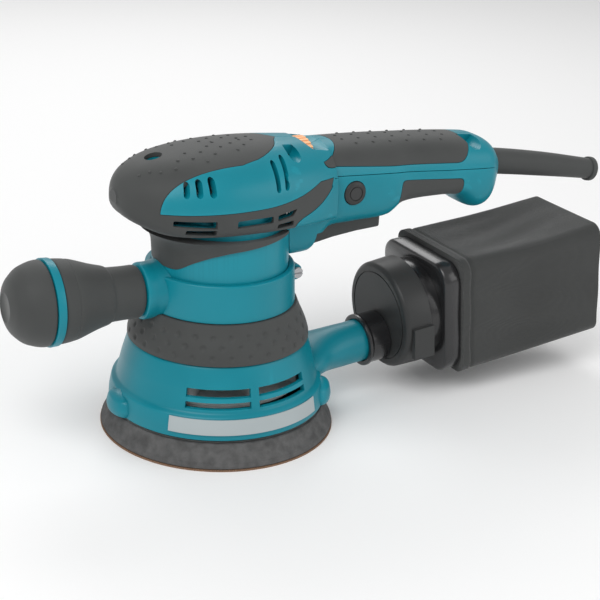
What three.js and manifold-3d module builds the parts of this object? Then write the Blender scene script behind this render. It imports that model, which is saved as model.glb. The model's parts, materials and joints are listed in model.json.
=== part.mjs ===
// Random orbit sander: a corded palm-and-handle sander with a front knob and a dust bag.
// Millimetres. +X points to the rear handle, +Z up, and the origin is on the spindle axis at the sanding
// face.
import * as THREE from "three";
import { mergeVertices } from "three/addons/utils/BufferGeometryUtils.js";
import Module from "manifold-3d";

const wasm = await Module();
wasm.setup();

// ---------- driving dimensions ----------
const GAP = 0.3; // air left between neighbouring pieces
const PAD_RADIUS = 61.5;
const ORBIT = 1.4; // pad axis to spindle axis, half of the orbit's diameter
const DISC_THICKNESS = 0.9;
const DUST_HOLE_RADIUS = 5;
const DUST_HOLE_CIRCLE = 32.5; // radius of the ring of dust holes
const DUST_HOLES = 8;
const PAD_TOP = 12.3;
const SKIRT_TOP = 49.5;
const CONE_TOP = 68.9; // top of the soft grip cone
const BAND_BOTTOM = 69.3;
const BAND_TOP = 88.6;
const NECK_RADIUS = 35;
const NECK_TOP = 110.5; // crease between neck and head
const NECK_GRIP_DEPTH = 1.6;
const GRIP_DEPTH = 2.2; // thickness of the soft grips on the head and the handle
const WALL = 5; // grip and shell together
const KNOB_HEIGHT = 77.3; // knob axis where it meets the spindle axis
const KNOB_TILT = THREE.MathUtils.degToRad(1.4);
const DUCT_TILT = THREE.MathUtils.degToRad(6); // dust duct and bag rise towards the rear
const CAP_START = 99.5; // front face of the bag cap along X
const CAP_HEIGHT = 42.2;
const SOCKET_DROP = 11.7; // duct axis below the bag's axis
const DUCT_RADIUS = 11.8;

// ---------- materials ----------
const finish = (color, roughness, metalness = 0) => new THREE.MeshStandardMaterial({ color, roughness,
  metalness });
const TEAL = finish(0x00808f, 0.45);
const SOFT = finish(0x4a4a4a, 0.85);
const BLACK = finish(0x1b1b1c, 0.35);
const CLOTH = finish(0x3d3f3e, 0.95);
const FOAM = finish(0x6b6b6c, 0.9);
const GRIT = finish(0x8d5b3c, 1);
const STEEL = finish(0xb4b7ba, 0.3, 1);
const ALLOY = finish(0xc0c2c4, 0.45, 1);
const COPPER = finish(0xb06a3a, 0.35, 1);
const AMBER = finish(0xf0b48c, 0.5);
const LABEL = finish(0x8f9294, 0.5);
const BOARD = finish(0x2e6b45, 0.6);

// ---------- geometry helpers ----------
// A closed geometry as a solid, turned outward if its faces point in.
function solidOf(geometry) {
  const bare = geometry.index ? geometry.toNonIndexed() : geometry.clone();
  bare.deleteAttribute("normal");
  bare.deleteAttribute("uv");
  const merged = mergeVertices(bare, 1e-3);
  const triVerts = new Uint32Array(merged.index.array);
  if (volumeOf(merged) < 0) triVerts.reverse();
  return new wasm.Manifold(new wasm.Mesh({ numProp: 3, vertProperties: merged.attributes.position.array,
    triVerts }));
}

function volumeOf(geometry) {
  const [a, b, c] = [new THREE.Vector3(), new THREE.Vector3(), new THREE.Vector3()];
  const { index } = geometry;
  const place = geometry.attributes.position;
  let volume = 0;
  for (let i = 0; i < index.count; i += 3) {
    a.fromBufferAttribute(place, index.getX(i));
    b.fromBufferAttribute(place, index.getX(i + 1));
    c.fromBufferAttribute(place, index.getX(i + 2));
    volume += a.dot(b.cross(c));
  }
  return volume;
}

const joined = (...solids) => solids.reduce((sum, next) => sum.add(next));

// A round body about +Z from [radius, height] points, closed on itself unless both ends lie on the axis.
function turned(profile, sides = 40) {
  const [first, last] = [profile[0], profile[profile.length - 1]];
  const closed = first[0] === 0 && last[0] === 0 ? profile : [...profile, first];
  const points = closed.map(([radius, height]) => new THREE.Vector2(radius, height));
  return new THREE.LatheGeometry(points, sides).rotateX(Math.PI / 2);
}

const disc = (radius, low, high, sides = 40) => turned([[0, low], [radius, low], [radius, high], [0,
  high]], sides);

const tube = (inner, outer, low, high, sides = 40) =>
  turned([[inner, low], [outer, low], [outer, high], [inner, high]], sides);

// A round bar along X or Y, from one end to the other.
const barX = (radius, from, to, y, z, sides = 16) => disc(radius, from, to,
  sides).rotateY(Math.PI / 2).translate(0, y, z);
const barY = (radius, from, to, x, z, sides = 16) => disc(radius, from, to,
  sides).rotateX(-Math.PI / 2).translate(x, 0, z);

const block = (x0, x1, y0, y1, z0, z1) =>
  new THREE.BoxGeometry(x1 - x0, y1 - y0, z1 - z0).translate((x0 + x1) / 2, (y0 + y1) / 2, (z0 + z1) / 2);

// An [x, z] outline carried across from one Y to another.
function sideways(outline, fromY, toY) {
  const shape = new THREE.Shape(outline.map(([x, z]) => new THREE.Vector2(x, z)));
  return new THREE.ExtrudeGeometry(shape, { depth: toY - fromY, bevelEnabled: false })
    .rotateX(Math.PI / 2)
    .translate(0, toY, 0);
}

// A closed skin through rings of equal point counts, with a flat cap at each end.
function lofted(rings) {
  const count = rings[0].length;
  const middles = [rings[0], rings[rings.length - 1]].map((ring) =>
    ring.reduce((sum, p) => sum.add(p), new THREE.Vector3()).divideScalar(count));
  const place = [...rings.flat(), ...middles].flatMap((p) => [p.x, p.y, p.z]);
  const faces = [];
  const lastRing = (rings.length - 1) * count;
  const hub = rings.length * count;
  for (let i = 0; i < count; i++) {
    const next = (i + 1) % count;
    for (let start = 0; start < lastRing; start += count) {
      faces.push(start + i, start + next, start + count + i);
      faces.push(start + next, start + count + next, start + count + i);
    }
    faces.push(hub, next, i);
    faces.push(hub + 1, lastRing + i, lastRing + next);
  }
  const geometry = new THREE.BufferGeometry();
  geometry.setAttribute("position", new THREE.Float32BufferAttribute(place, 3));
  return geometry.setIndex(faces);
}

// A smooth curve through [x, value] points, read at any x.
function curveThrough(points) {
  return (x) => {
    let i = 1;
    while (i < points.length - 1 && points[i][0] < x) i++;
    const [x0, y0] = points[i - 1];
    const [x1, y1] = points[i];
    const slope = (j) => {
      const [a, b] = [points[Math.max(j - 1, 0)], points[Math.min(j + 1, points.length - 1)]];
      return (b[1] - a[1]) / (b[0] - a[0]);
    };
    const t = (x - x0) / (x1 - x0);
    const rise = (t * t * (3 - 2 * t)) * (y1 - y0);
    const lean = (t * (1 - t) ** 2 * slope(i - 1) - t * t * (1 - t) * slope(i)) * (x1 - x0);
    return y0 + rise + lean;
  };
}

// One cross-section at x: a rounded oval with its own squareness above and below its widest line.
function section(x, { half, top, bottom, middle, crown, belly }, count) {
  const ring = [];
  for (let i = 0; i < count; i++) {
    const angle = (2 * Math.PI * (i + 0.5)) / count;
    const [c, s] = [Math.cos(angle), Math.sin(angle)];
    const power = 2 / (s > 0 ? crown : belly);
    const reach = s > 0 ? top - middle : middle - bottom;
    const y = half * Math.sign(c) * Math.abs(c) ** power;
    ring.push(new THREE.Vector3(x, y, middle + reach * Math.sign(s) * Math.abs(s) ** power));
  }
  return ring;
}

// Where a body's cross-sections stand: both ends, and the given places that lie between them.
function stationsBetween(front, rear, places) {
  return [front, ...places.filter((x) => x > front + 0.5 && x < rear - 0.5), rear];
}

// ---------- body shape ----------
const HEAD_FRONT = -58.8;
const HEAD_REAR = 52;
const HEAD_CENTRE = -8;
const HEAD_HALF_WIDTH = 37;
const headTop = curveThrough([[-58.8, 133], [-56, 138.5], [-48, 144.2], [-34, 148.6], [-10, 151.4], [15,
  151.8], [52, 149.5]]);
const headBottom = curveThrough([[-58.8, 126.5], [-56, 121], [-48, 115.8], [-38, 112.4], [-20, 111.6],
  [52, 111.6]]);

// The head: a long egg, boxier below its widest line than above it.
function head(inset, places, count) {
  const [front, rear] = [HEAD_FRONT + inset, HEAD_REAR - inset];
  const rings = stationsBetween(front, rear, places).map((x) => {
    const reach = x < HEAD_CENTRE ? HEAD_CENTRE - front : 80 - HEAD_CENTRE;
    const round = Math.max(1 - ((x - HEAD_CENTRE) / reach) ** 2, 0.012);
    const top = headTop(x) - inset;
    const bottom = Math.min(headBottom(x) + inset, top - 1);
    const belly = THREE.MathUtils.mapLinear(Math.max(x, -50), -50, 52, 3, 8);
    const half = (HEAD_HALF_WIDTH - inset) * round ** 0.5;
    return section(x, { half, top, bottom, middle: bottom + (top - bottom) * 0.33, crown: 2.3, belly },
      count);
  });
  return solidOf(lofted(rings));
}

const HANDLE_FRONT = 12;
const HANDLE_REAR = 161.5;
const handleTop = curveThrough([[12, 146], [30, 148], [55, 147.6], [78, 147], [102, 146], [127, 144.4],
  [146, 142.6],
  [153, 141.5], [158, 138.5], [161.5, 134]]);
const handleBottom = curveThrough([[12, 91], [43, 91], [47, 96], [52, 103], [66, 104.5], [84, 105], [90,
  106], [97, 111.5],
  [120, 113], [136, 111.5], [141, 107.5], [145.5, 104], [150, 103], [155, 104.8], [159, 109.5], [161.5,
    116.5]]);
const handleHalf = curveThrough([[12, 22], [40, 24], [62, 24], [88, 23.5], [99, 22], [131, 22], [148,
  22], [155, 20.5],
  [161.5, 14.5]]);

// The handle: a soft-cornered bar from inside the head to the cord guard, deeper at its switch and its
// rear hook.
function handle(inset, places, count) {
  const rings = stationsBetween(HANDLE_FRONT + inset, HANDLE_REAR - inset, places).map((x) => {
    const [top, bottom] = [handleTop(x) - inset, handleBottom(x) + inset];
    return section(x, { half: handleHalf(x) - inset, top, bottom, middle: 125, crown: 2.7, belly: 3.2 },
      count);
  });
  return solidOf(lofted(rings));
}

const headPlaces = [-57.2, -54, -49, -41, -30, -15, 3, 20, 36];
const handlePlaces = [28, 43, 47, 53, 66, 84, 90, 97, 115, 136, 141, 146, 151, 156, 159.5];
const outline = (inset) => joined(head(inset, headPlaces, 20), handle(inset, handlePlaces, 14));
const roughly = (places) => places.filter((_, i) => i % 2 === 0);
const outerBody = outline(0);
const gripBed = outline(GRIP_DEPTH);
const shellBed = outline(GRIP_DEPTH + GAP);
const cavity = joined(head(WALL, roughly(headPlaces), 10), handle(WALL, roughly(handlePlaces), 10));

// ---------- grip outlines ----------
const FAR = 60; // past either side of the body
const prism = (outline, fromY = -FAR, toY = FAR) => solidOf(sideways(outline, fromY, toY));

// The palm grip's oval seen from above, open at the nose, as [x, y].
const palmEdge = [[-2, 24.9], [7.5, 22.4], [15.5, 18], [22, 11.8], [25.6, 4.5]];
function palmOval(e) {
  const half = [[-80, 24.9], ...palmEdge].map(([x, y]) => [x + e * 0.7, y + e]);
  const outline = [...half, ...half.toReversed().map(([x, y]) => [x, -y])];
  const shape = new THREE.Shape(outline.map(([x, y]) => new THREE.Vector2(x, y)));
  return solidOf(new THREE.ExtrudeGeometry(shape, { depth: 60, bevelEnabled: false }).translate(0, 0, 120));
}

// Side views as [x, z]. The panel's lower edge sweeps up to the rear, and under it runs the soft band.
const panelSide = (e) => [[-80, 126.2 - e], [-8, 126.2 - e], [5, 126.4 - e], [15, 127.2 - e], [27,
  129.6 - e], [35, 132.4 - e],
  [41, 135 - e], [49 - e, 134.8 - e], [47 - 2 * e, 131 - e], [80, 131 - e], [80, 170], [-80, 170]];
const rearSide = (e) => [[24.3 - e, 90], [24.3 - e, 115.5 + e], [27 - e, 118 + e], [35.4 - e, 121.2 + e],
  [40.6 - e, 124.2 + e],
  [46.4 - e, 129.4 + e], [49.4 - e, 133.6 + e], [49.4 - e, 180], [180, 180], [180, 90]];
const topGripSide = (e) => [[45 - e, 139.8 - e], [87, 136 - e], [133 + e, 133 - e], [141 + e, 143],
  [145 + e, 160], [45 - e, 160]];
const lowerGripSide = (e) => [[94.2 - e, 127.2 + e], [93.2 - e, 116.5], [94.5 - e, 100], [131 + e, 100],
  [134 + e, 117.5],
  [133.5 + e, 124 + e]];
const dialIsland = (e) => solidOf(disc(24.5 - e, 130, 170, 36).translate(36, 0, 0));

const skin = outerBody.subtract(gripBed);
// All of the head but its side panels and its rear.
const palmZone = (e) => solidOf(block(-90, 50, -FAR, FAR, 105, 180))
  .subtract(prism(panelSide(-e)).subtract(palmOval(e)))
  .subtract(prism(rearSide(-e)));

// Slots through the side walls, drawn in the side view.
function leaningSlot(bottomX, bottomZ, topX, topZ, width) {
  const [w, sweep] = [width / 2, width * 0.35];
  return prism([[bottomX - w, bottomZ + sweep], [bottomX, bottomZ], [bottomX + w, bottomZ + sweep],
    [topX + w, topZ - sweep], [topX, topZ], [topX - w, topZ - sweep]]);
}

const panelSlots = [
  leaningSlot(-33.6, 134, -32.4, 141.6, 2.8),
  leaningSlot(-27.7, 134, -26.8, 142.6, 3.2),
  leaningSlot(-21.3, 134, -20.8, 143.4, 3.4),
  leaningSlot(13.6, 133, 14.3, 147, 2.6),
  leaningSlot(18.6, 133.4, 20.6, 148.2, 2.6)];
const bandSlots = [
  prism([[-40, 120.6], [-19.8, 119.2], [-19.8, 123], [-40, 123.6]]),
  prism([[-34.4, 116.4], [-19.8, 115.6], [-19.8, 118.5], [-34.4, 118.9]]),
  prism([[-9.6, 118.4], [10.4, 118.6], [10.4, 122.2], [-9.6, 122.2]]),
  prism([[13, 119], [22, 120.4], [24.4, 123.9], [13, 122.2]]),
  prism([[13, 115], [22.6, 115.6], [22.6, 118.3], [13, 117.4]])];

// ---------- controls' places ----------
const DIAL = { front: 39.5, rear: 46, height: 134, radius: 16 };
const SADDLE = { x: 48.4, height: 155.6, radius: 10, half: 16 };
const BUTTON = { x: 63.8, height: 124.4, radius: 6.2 };
const TRIGGER = { front: 48, rear: 88.5, half: 10.9, pivotX: 52, pivotHeight: 108.4 };
const PALM_HOLE = { x: -38, radius: 4.4 };
const FRONT_NOTCH = { x: 29.2, height: 147.8, radius: 3.5, depth: -11.5 };
const REAR_NOTCH = { x: 144, height: 143, radius: 5, depth: -3 };
const housingScrews = [[24, 138], [51, 117.5], [88.6, 121], [140.5, 121], [147.5, 108.4]]; // as [x, z]
const guardPath = new THREE.CatmullRomCurve3([[149, 125.2], [160, 124.9], [171, 124.1], [203, 119.2],
  [233, 113.8], [241, 112.2]]
  .map(([x, z]) => new THREE.Vector3(x, 0, z)));

// ---------- assembly ----------
const sander = new THREE.Group();

// Names a solid or a geometry as one piece of the sander.
function piece(name, shape, material, parent = sander) {
  const made = shape.isBufferGeometry ? solidOf(shape) : shape;
  const { vertProperties, triVerts } = made.getMesh();
  const geometry = new THREE.BufferGeometry();
  geometry.setAttribute("position", new THREE.BufferAttribute(vertProperties, 3));
  geometry.setIndex(new THREE.BufferAttribute(triVerts, 1));
  const mesh = new THREE.Mesh(geometry, material);
  mesh.name = name;
  parent.add(mesh);
  return mesh;
}

const cut = (shape, ...tools) => tools.reduce((left,
  tool) => left.subtract(tool.isBufferGeometry ? solidOf(tool) : tool),
  shape.isBufferGeometry ? solidOf(shape) : shape);

// The sanding pad, its plate and its bearing shaft all turn about an axis set off from the spindle by
// the orbit.
function addPad() {
  const pad = new THREE.Group();
  pad.position.y = -ORBIT;
  sander.add(pad);
  const dustHoles = [];
  for (let i = 0; i < DUST_HOLES; i++) {
    const angle = ((i + 0.5) * 2 * Math.PI) / DUST_HOLES;
    const [x, y] = [DUST_HOLE_CIRCLE * Math.cos(angle), DUST_HOLE_CIRCLE * Math.sin(angle)];
    dustHoles.push(solidOf(disc(DUST_HOLE_RADIUS, -1, PAD_TOP + 1, 8).translate(x, y, 0)));
  }
  const foamBottom = DISC_THICKNESS + GAP;
  const plateBottom = PAD_TOP - 3.6;
  const plateRadius = 49;
  const foam = turned([[9.5, foamBottom], [PAD_RADIUS - 0.2, foamBottom], [PAD_RADIUS - 0.5,
    foamBottom + 1.6], [55.8, PAD_TOP],
    [plateRadius + GAP, PAD_TOP], [plateRadius + GAP, plateBottom - GAP], [9.5, plateBottom - GAP]], 36);
  piece("abrasive_disc", cut(disc(PAD_RADIUS, 0, DISC_THICKNESS, 36), ...dustHoles), GRIT, pad);
  piece("pad_foam", cut(foam, ...dustHoles), FOAM, pad);
  piece("pad_plate", cut(tube(4.3, plateRadius, plateBottom, PAD_TOP, 28), ...dustHoles), BLACK, pad);
  piece("pad_screw", turned([[0, 4.7], [7.5, 4.7], [7.5, plateBottom - GAP], [4, plateBottom - GAP], [4,
    20], [0, 20]], 20), STEEL, pad);
  const seat = PAD_TOP + GAP;
  piece("pad_shaft", turned([[4.3, seat], [9, seat], [9, 14.6], [6, 14.6], [6, 24.5], [0, 24.5], [0,
    20.3], [4.3, 20.3]], 16), STEEL, pad);
  piece("pad_bearing", tube(6.3, 14, 15.2, 23.2, 22), STEEL).position.y = -ORBIT;
}

// What the motor turns: the shaft with its windings, the cooling fan, the dust fan and the counterweight.
function addRotor() {
  const shaft = [[0, 26.5], [4, 26.5], [4, 44.3], [5.7, 44.3], [5.7, 72], [4.5, 72], [4.5, 131], [3.4,
    131], [3.4, 139], [0, 139]];
  piece("armature_shaft", turned(shaft, 16), STEEL);
  const around = (count, geometry) => {
    const copies = [];
    for (let i = 0; i < count; i++) copies.push(solidOf(geometry.clone().rotateZ((2 * Math.PI * i) / count)));
    return copies;
  };
  piece("armature_core", cut(tube(4.8, 17, 78, 102, 24), ...around(8, block(14, 20, -1.1, 1.1, 70,
    110))), STEEL);
  piece("commutator", tube(4.8, 11, 108.5, 122, 24), COPPER);
  const coolingBlades = around(6, block(9, 26, -0.8, 0.8, 71, 75));
  piece("cooling_fan", joined(solidOf(tube(6, 27, 69.8, 71.3, 24)), solidOf(tube(6, 9.5, 71, 75, 24)),
    ...coolingBlades), BLACK);
  const hub = turned([[4.3, 20], [4.3, 43.5], [15, 43.5], [17.5, 27.5], [44, 27.5], [44, 25.9], [17.5,
    25.9], [17.5, 15.2],
    [10, 15.2], [10, 20]], 24);
  const dustBlades = around(8, block(15, 43.5, -0.9, 0.9, 27, 40.5));
  const bearingSeat = disc(14.3, 10, 25, 22).translate(0, -ORBIT, 0);
  piece("dust_fan", cut(joined(solidOf(hub), ...dustBlades), bearingSeat), ALLOY);
  const heavySide = solidOf(block(-45, 45, 7, 45, 10, 30));
  piece("counterweight", solidOf(tube(17.8, 38, 17.5, 25.6, 36)).intersect(heavySide), STEEL);
}

// The dust duct's rings, from inside the skirt wall to the pipe's end.
function ductRings(inset, from, to) {
  const axis = (x) => CAP_HEIGHT - SOCKET_DROP - (CAP_START - x) * Math.tan(DUCT_TILT);
  const width = curveThrough([[40, 24], [54, 20], [62, 15.6], [72, 12.8], [80, DUCT_RADIUS], [100,
    DUCT_RADIUS]]);
  const height = curveThrough([[40, 9], [54, 9.6], [62, 10.6], [72, 11.6], [80, DUCT_RADIUS], [100,
    DUCT_RADIUS]]);
  const rings = [];
  for (let i = 0; i <= 6; i++) {
    const x = from + ((to - from) * i) / 6;
    const ring = [];
    for (let j = 0; j < 16; j++) {
      const angle = (2 * Math.PI * j) / 16;
      const y = (width(x) - inset) * Math.cos(angle);
      const z = (height(x) - inset) * Math.sin(angle);
      ring.push(new THREE.Vector3(x, y, axis(x) + 1.2 * (1 - Math.min((x - 40) / 40, 1)) + z));
    }
    rings.push(ring);
  }
  return solidOf(lofted(rings));
}

// The skirt round the fan with its vents, its bumpers and the dust duct, and what is fixed to it.
function addSkirt() {
  const outer = [[56.7, 13.8], [56.4, 19], [55.2, 25.4], [52.7, 26.8], [50, 38], [46.9, 48.2], [46.2,
    49.3]];
  const inner = [[44.4, 46.8], [48, 37], [50.4, 26], [53.6, 21], [54.1, 13.8]];
  const inside = solidOf(turned([[0, 10], [54.1, 10], ...inner.toReversed(), [0, 46.8]], 36));
  const wall = solidOf(turned([...outer, [37, SKIRT_TOP], [37, 46.8], ...inner], 36));
  const bumpers = [180, -31, 31].map((degrees) => {
    const bump = turned([[0, 13.9], [5.4, 13.9], [6, 17.5], [5, 22.6], [0, 26]], 8).scale(1, 2, 1);
    return solidOf(bump.translate(54.8, 0, 0).rotateZ(THREE.MathUtils.degToRad(degrees)));
  });
  const ventRows = [[34.2, 38.6], [28.6, 32]];
  const vents = ventRows.flatMap(([low, high]) => [[-134, -97], [-92, -57], [57, 92], [97,
    134]].map(([from, to]) =>
    sector(44, 62, low, high, from, to, 3)));
  const outside = joined(wall, ductRings(0, 44, 97.8), ...bumpers);
  piece("dust_skirt", cut(outside, inside, ductRings(2.4, 43, 99), ...vents), TEAL);
  piece("skirt_seal", turned([[50, 12.7], [56.2, 12.7], [56.2, 13.5], [53.3, 13.5], [53.3, 17.5], [51.6,
    17.5]], 28), SOFT);
  piece("label_plate", sector(57, 57.4, 17.2, 25, -141, -54, 12, -0.16), LABEL);
}

// A curved block about the spindle axis between two angles, leaning in by slope for each millimetre of
// height.
function sector(inner, outer, low, high, fromDegrees, toDegrees, steps, slope = 0) {
  const rings = [];
  for (let i = 0; i <= steps; i++) {
    const angle = THREE.MathUtils.degToRad(fromDegrees + ((toDegrees - fromDegrees) * i) / steps);
    const at = (radius, z) => {
      const r = radius + slope * (z - low);
      return new THREE.Vector3(r * Math.cos(angle), r * Math.sin(angle), z);
    };
    rings.push([at(inner, low), at(outer, low), at(outer, high), at(inner, high)]);
  }
  return solidOf(lofted(rings));
}

// The fixed motor parts, from the bearing box on the skirt up to the bracket inside the head.
function addMotor() {
  const cone = [[47.2, 49.8], [46.9, 53], [45, 58.5], [42.6, 63.6], [40.4, CONE_TOP], [37.6, CONE_TOP],
    [39.6, 63], [42, 57.4],
    [43.8, 49.8]];
  piece("grip_cone", turned(cone, 32), SOFT);
  const box = [[43.4, 49.8], [41.6, 57.2], [39.2, 62.8], [37.2, CONE_TOP], [34.5, CONE_TOP], [38.6, 56],
    [16.5, 56],
    [16.5, 62.5], [13.3, 62.5], [13.3, 51.2], [9, 51.2], [9, 49.8]];
  piece("bearing_box", turned(box, 20), ALLOY);
  piece("lower_bearing", tube(6, 13, 51.5, 62.3, 22), STEEL);
  const housing = [[31.5, 69.2], [NECK_RADIUS, 69.2], [NECK_RADIUS, NECK_TOP], [33, NECK_TOP], [33, 121],
    [31, 121], [31, 108],
    [31.5, 106]];
  const front = (e) => prism([[-60, 92.4 - e], [-33, 92.6 - e], [-31, 93.6 - e], [-27, 98.2 - e], [-20,
    102.6 - e],
    [-11, 105.4 - e], [8, 107.4 - e], [24 + e, 109 - e], [24 + e, 130], [-60, 130]]);
  const gripInner = NECK_RADIUS - NECK_GRIP_DEPTH;
  const pocket = solidOf(tube(gripInner - GAP, 50, 80, 120, 28)).intersect(front(GAP));
  piece("motor_housing", cut(turned(housing, 28), pocket), TEAL);
  const grip = [[gripInner, 88], [NECK_RADIUS, 88], [NECK_RADIUS, 105], [35.6, 108.2], [36.8, NECK_TOP],
    [gripInner, NECK_TOP]];
  piece("neck_grip", solidOf(turned(grip, 28)).intersect(front(0)), SOFT);
  const flats = [block(27.5, 40, -40, 40, 70, 110), block(-40, -27.5, -40, 40, 70, 110)];
  piece("stator", cut(tube(18, 31.1, 79, 101, 28), ...flats), STEEL);
  piece("baffle_ring", tube(27.8, 31.1, 75.6, 78.4, 24), BLACK);
  for (const [side, sign] of [["left", -1], ["right", 1]]) {
    const place = (x, y0, y1, low, high) => block(-x, x, Math.min(sign * y0, sign * y1),
      Math.max(sign * y0, sign * y1), low, high);
    piece(`brush_holder_${side}`, cut(place(5.2, 13, 29, 111, 120), place(3.3, 12, 30, 112.2, 118.8)),
      BLACK);
    piece(`carbon_brush_${side}`, place(3, 11.4, 24, 112.5, 118.5), SOFT);
  }
  const legs = [block(-30, -25, -7, 7, 121.3, 128), block(25, 30, -7, 7, 121.3, 128)].map(solidOf);
  const bridge = [solidOf(block(-30, 30, -7, 7, 126.5, 130)), solidOf(disc(12.6, 126.5, 138.4, 20)),
    ...legs];
  piece("bearing_bracket", cut(joined(...bridge), disc(9.8, 130.8, 140, 20), disc(5.4, 120, 135, 16)),
    BLACK);
  piece("upper_bearing", tube(3.7, 9.5, 131.1, 138.1, 20), STEEL);
}

// The clamp band that holds the front knob, split at the rear and drawn together by one screw.
const aboutKnob = (geometry) => geometry.rotateY(-Math.PI / 2).rotateY(KNOB_TILT).translate(0, 0,
  KNOB_HEIGHT);

function addBand() {
  const inner = NECK_RADIUS + GAP;
  const ring = [[inner, BAND_BOTTOM], [39.3, BAND_BOTTOM], [38.3, BAND_TOP - 0.6], [37.7, BAND_TOP],
    [inner, BAND_TOP]];
  const sleeve = aboutKnob(turned([[0, 30], [16.4, 30], [15, 38], [14.5, 45.6], [0, 45.6]], 20));
  const earOutline = [[36.5, 74.5], [42.4, 74.5], [44.4, 76.5], [44.4, 81], [42.4, 83], [36.5, 83]];
  const ears = [prism(earOutline, -7, -1.4), prism(earOutline, 1.4, 7)];
  const hole = aboutKnob(disc(4.3, 20, 50, 12));
  const clearOfCone = turned([[0, 48], [47.6, 48], [47.3, 53], [45.4, 58.5], [43, 63.6], [40.8, 69.2],
    [0, 69.2]]);
  const bore = disc(inner, 60, 100, 28);
  const band = cut(joined(solidOf(turned(ring, 28)), solidOf(sleeve), ...ears), bore, hole, block(30, 50,
    -1.4, 1.4, 60, 100),
    barY(2, -10, 10, 41.2, 78.8, 14), clearOfCone);
  piece("clamp_band", band, TEAL);
  const screw = turned([[0, -9.4], [3, -9.4], [3, -7.3], [1.7, -7.3], [1.7, 9], [0, 9]], 10);
  piece("band_screw", screw.rotateX(-Math.PI / 2).translate(41.2, 0, 78.8), STEEL);
}

function addKnob() {
  const profile = [[4.3, 45.9], [13.6, 45.9], [13.4, 53], [13.7, 62.6], [14.7, 63.2], [16.4, 70], [19.8,
    80],
    [21.2, 90.4], [18.5, 90.4], [18.5, 95.1], [21.5, 95.1], [21, 100], [18.6, 106.6], [13.4, 112], [7.4,
      114.4],
    [6.8, 113.8], [0, 113.8], [0, 71], [4.3, 71]];
  piece("knob_grip", aboutKnob(turned(profile, 24)), SOFT);
  piece("knob_ring", aboutKnob(turned([[18.8, 90.7], [21.7, 90.7], [21.9, 94.8], [18.8, 94.8]], 24)), TEAL);
  piece("knob_stud", aboutKnob(disc(4, 37, 70.6, 12)), STEEL);
}

// The dust bag turns and slides on the duct, so it is built along +X from its cap's front face.
function addBag() {
  const bag = new THREE.Group();
  bag.position.set(CAP_START, 0, CAP_HEIGHT);
  bag.rotation.y = -DUCT_TILT;
  sander.add(bag);
  const along = (geometry) => geometry.rotateY(Math.PI / 2);
  const drop = (geometry) => geometry.translate(0, 0, -SOCKET_DROP);
  const bore = DUCT_RADIUS + GAP;
  const socket = [[bore, -14], [14.6, -14], [14.8, -12.4], [13.9, -11.2], [14, -0.3], [bore, -0.3]];
  piece("bag_socket", drop(along(turned(socket, 20))), BLACK, bag);
  const capDepth = 16;
  const shell = solidOf(along(turned([[0, 0], [28.2, 0], [30, 1.8], [30.6, capDepth], [0, capDepth]], 28)));
  const hollow = along(disc(28, 2.6, 40, 24));
  const latch = solidOf(block(3.5, capDepth, -32.2, -28.5, -16, 2));
  piece("bag_cap", cut(joined(shell, latch), hollow, drop(along(disc(bore, -5, 8, 24)))), BLACK, bag);
  const neckStart = capDepth + GAP;
  const neck = solidOf(along(tube(22, 27.5, neckStart, 26, 20)));
  const plate = solidOf(boxSection(24, 10.6, 31, 32.4, 11, 2));
  piece("bag_frame", cut(joined(neck, plate), along(disc(22, 10, 40, 20))), BLACK, bag);
  const clothStart = 24 + 10.6 + GAP;
  const cloth = solidOf(boxSection(clothStart, 95.6, 32, 33.6, 8, 3));
  piece("dust_bag", cut(cloth, boxSection(clothStart - 1, 94, 30, 31.6, 7, 0)), CLOTH, bag);
}

// A bar along +X with a rounded rectangular section and softened ends.
function boxSection(start, length, half, halfHeight, corner, soft) {
  const shape = new THREE.Shape();
  const [w, h, r] = [halfHeight - soft, half - soft, Math.max(corner - soft, 1)];
  shape.moveTo(-w + r, -h);
  shape.lineTo(w - r, -h).absarc(w - r, -h + r, r, -Math.PI / 2, 0);
  shape.lineTo(w, h - r).absarc(w - r, h - r, r, 0, Math.PI / 2);
  shape.lineTo(-w + r, h).absarc(-w + r, h - r, r, Math.PI / 2, Math.PI);
  shape.lineTo(-w, -h + r).absarc(-w + r, -h + r, r, Math.PI, 1.5 * Math.PI);
  const bevel = soft > 0 ? { bevelEnabled: true, bevelSize: soft, bevelThickness: soft,
    bevelSegments: 2 } : { bevelEnabled: false };
  const depth = length - 2 * soft;
  return new THREE.ExtrudeGeometry(shape, { depth, curveSegments: 3, ...bevel })
    .rotateY(Math.PI / 2)
    .translate(start + soft, 0, 0);
}

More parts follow.
